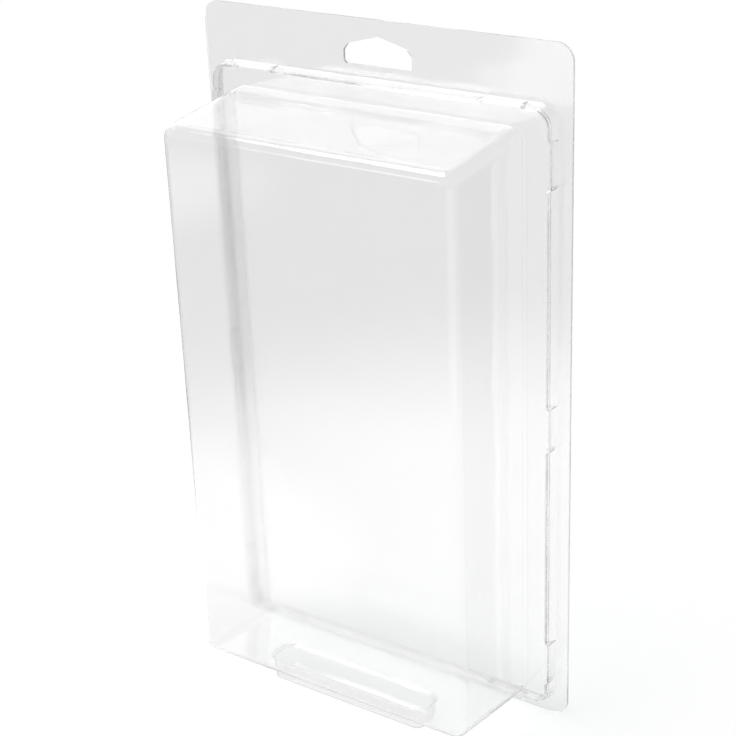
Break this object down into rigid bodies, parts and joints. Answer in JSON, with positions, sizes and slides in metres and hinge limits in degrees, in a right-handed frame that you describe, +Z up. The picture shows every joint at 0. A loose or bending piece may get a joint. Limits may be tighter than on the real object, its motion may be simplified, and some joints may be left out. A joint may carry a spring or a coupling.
{
  "type": "clear clamshell protector case",
  "caption": "Clear thermoformed clamshell case with a deep front tray, a hinged back, a snap rim, a header with a hang hole and a foot that lets it stand.",
  "frame": {"origin": "on the standing plane, under the middle of the case's box", "axes": "+Z up along the case's height, +Y to the back, +X to the right seen from the front"},
  "size_m": [0.17, 0.0546, 0.286],
  "materials": {
    "clear_sheet": "clear gloss"
  },
  "bodies": {
    "front": {"front_shell": "clear_sheet"},
    "back": {"back_shell": "clear_sheet"}
  },
  "joints": [
    {"name": "back_hinge", "type": "hinge", "parent": "front", "child": "back", "pos_m": [-0.08445, 0.02675, 0.143], "axis": [0, 0, 1], "range_deg": [0, 180]}
  ]
}
